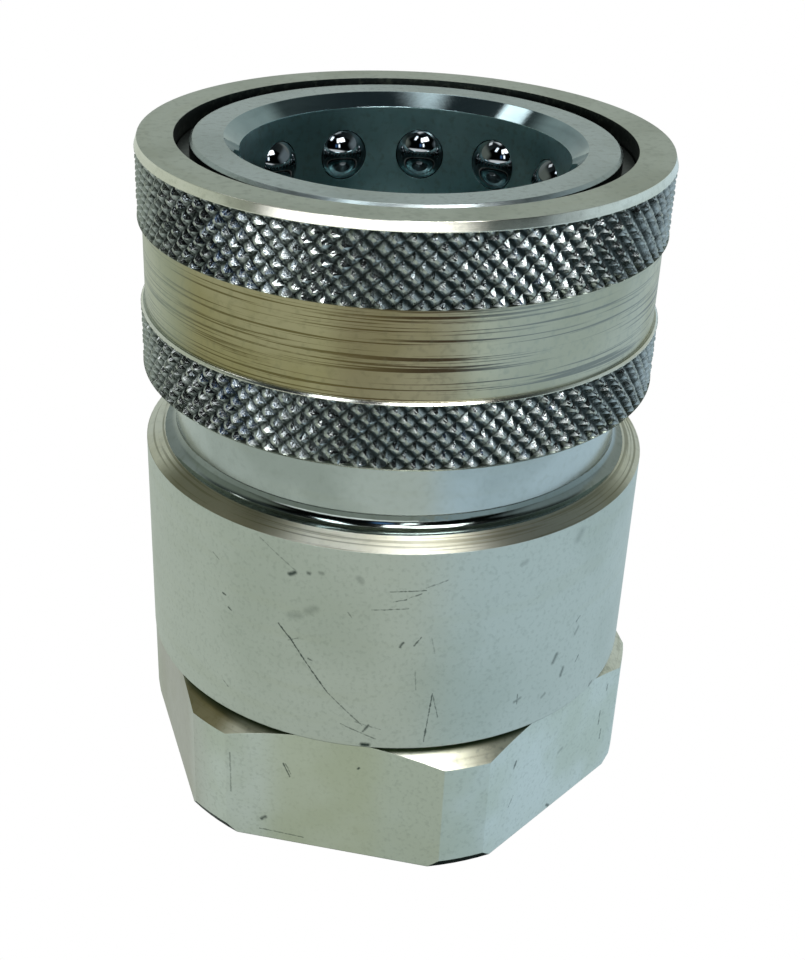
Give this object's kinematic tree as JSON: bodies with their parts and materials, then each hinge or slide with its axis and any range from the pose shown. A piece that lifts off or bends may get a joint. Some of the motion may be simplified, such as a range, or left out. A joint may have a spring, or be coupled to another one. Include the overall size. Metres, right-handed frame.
{
  "type": "quick coupling",
  "caption": "Female quick coupling with a knurled sliding sleeve, locking balls and a sprung poppet valve over a hex pipe end.",
  "frame": {"origin": "centre of the hex end's foot face, which the coupling stands on", "axes": "+Z along the coupling's axis towards the mating end; two hex flats are square to X and two hex corners lie on Y"},
  "size_m": [0.0572, 0.0596, 0.0759],
  "materials": {
    "zinc_steel": "satin",
    "sleeve_steel": "satin",
    "spring_steel": "satin",
    "valve_steel": "satin",
    "polished_steel": "polished",
    "nitrile": "matte",
    "ptfe": "matte"
  },
  "bodies": {
    "body": {"coupler_body": "zinc_steel", "sleeve_spring": "spring_steel", "valve_spring": "spring_steel", "socket_seal": "nitrile", "backup_ring": "ptfe", "valve_guide": "valve_steel", "valve_circlip": "spring_steel"},
    "stop_ring": {"sleeve_stop_ring": "spring_steel"},
    "sleeve": {"sleeve": "sleeve_steel"},
    "poppet": {"poppet": "valve_steel", "poppet_seal": "nitrile"},
    "ball_01": {"locking_ball_01": "polished_steel"},
    "ball_02": {"locking_ball_02": "polished_steel"},
    "ball_03": {"locking_ball_03": "polished_steel"},
    "ball_04": {"locking_ball_04": "polished_steel"},
    "ball_05": {"locking_ball_05": "polished_steel"},
    "ball_06": {"locking_ball_06": "polished_steel"},
    "ball_07": {"locking_ball_07": "polished_steel"},
    "ball_08": {"locking_ball_08": "polished_steel"},
    "ball_09": {"locking_ball_09": "polished_steel"},
    "ball_10": {"locking_ball_10": "polished_steel"},
    "ball_11": {"locking_ball_11": "polished_steel"},
    "ball_12": {"locking_ball_12": "polished_steel"}
  },
  "joints": [
    {"name": "sleeve_turn", "type": "hinge", "parent": "body", "child": "stop_ring", "pos_m": [0, 0, 0.0734], "axis": [0, 0, 1], "continuous": true},
    {"name": "sleeve_slide", "type": "slide", "parent": "stop_ring", "child": "sleeve", "axis": [0, 0, -1], "range_m": [0, 0.0055], "stiffness_N_per_m": 8000, "springref_m": -0.006, "deforming": ["sleeve_spring"]},
    {"name": "poppet_slide", "type": "slide", "parent": "body", "child": "poppet", "axis": [0, 0, -1], "range_m": [0, 0.0065], "stiffness_N_per_m": 3000, "springref_m": -0.012, "deforming": ["valve_spring"]},
    {"name": "ball_slide_01", "type": "slide", "parent": "body", "child": "ball_01", "axis": [0.9954, 0.0958, 0], "range_m": [0, 0.00165]},
    {"name": "ball_slide_02", "type": "slide", "parent": "body", "child": "ball_02", "axis": [0.8141, 0.5807, 0], "range_m": [0, 0.00165]},
    {"name": "ball_slide_03", "type": "slide", "parent": "body", "child": "ball_03", "axis": [0.4147, 0.91, 0], "range_m": [0, 0.00165]},
    {"name": "ball_slide_04", "type": "slide", "parent": "body", "child": "ball_04", "axis": [-0.0958, 0.9954, 0], "range_m": [0, 0.00165]},
    {"name": "ball_slide_05", "type": "slide", "parent": "body", "child": "ball_05", "axis": [-0.5807, 0.8141, 0], "range_m": [0, 0.00165]},
    {"name": "ball_slide_06", "type": "slide", "parent": "body", "child": "ball_06", "axis": [-0.91, 0.4147, 0], "range_m": [0, 0.00165]},
    {"name": "ball_slide_07", "type": "slide", "parent": "body", "child": "ball_07", "axis": [-0.9954, -0.0958, 0], "range_m": [0, 0.00165]},
    {"name": "ball_slide_08", "type": "slide", "parent": "body", "child": "ball_08", "axis": [-0.8141, -0.5807, 0], "range_m": [0, 0.00165]},
    {"name": "ball_slide_09", "type": "slide", "parent": "body", "child": "ball_09", "axis": [-0.4147, -0.91, 0], "range_m": [0, 0.00165]},
    {"name": "ball_slide_10", "type": "slide", "parent": "body", "child": "ball_10", "axis": [0.0958, -0.9954, 0], "range_m": [0, 0.00165]},
    {"name": "ball_slide_11", "type": "slide", "parent": "body", "child": "ball_11", "axis": [0.5807, -0.8141, 0], "range_m": [0, 0.00165]},
    {"name": "ball_slide_12", "type": "slide", "parent": "body", "child": "ball_12", "axis": [0.91, -0.4147, 0], "range_m": [0, 0.00165]}
  ],
  "couplings": [
    {"joint": "ball_slide_01", "follows": "sleeve_slide", "ratio": 0.3},
    {"joint": "ball_slide_02", "follows": "sleeve_slide", "ratio": 0.3},
    {"joint": "ball_slide_03", "follows": "sleeve_slide", "ratio": 0.3},
    {"joint": "ball_slide_04", "follows": "sleeve_slide", "ratio": 0.3},
    {"joint": "ball_slide_05", "follows": "sleeve_slide", "ratio": 0.3},
    {"joint": "ball_slide_06", "follows": "sleeve_slide", "ratio": 0.3},
    {"joint": "ball_slide_07", "follows": "sleeve_slide", "ratio": 0.3},
    {"joint": "ball_slide_08", "follows": "sleeve_slide", "ratio": 0.3},
    {"joint": "ball_slide_09", "follows": "sleeve_slide", "ratio": 0.3},
    {"joint": "ball_slide_10", "follows": "sleeve_slide", "ratio": 0.3},
    {"joint": "ball_slide_11", "follows": "sleeve_slide", "ratio": 0.3},
    {"joint": "ball_slide_12", "follows": "sleeve_slide", "ratio": 0.3}
  ]
}
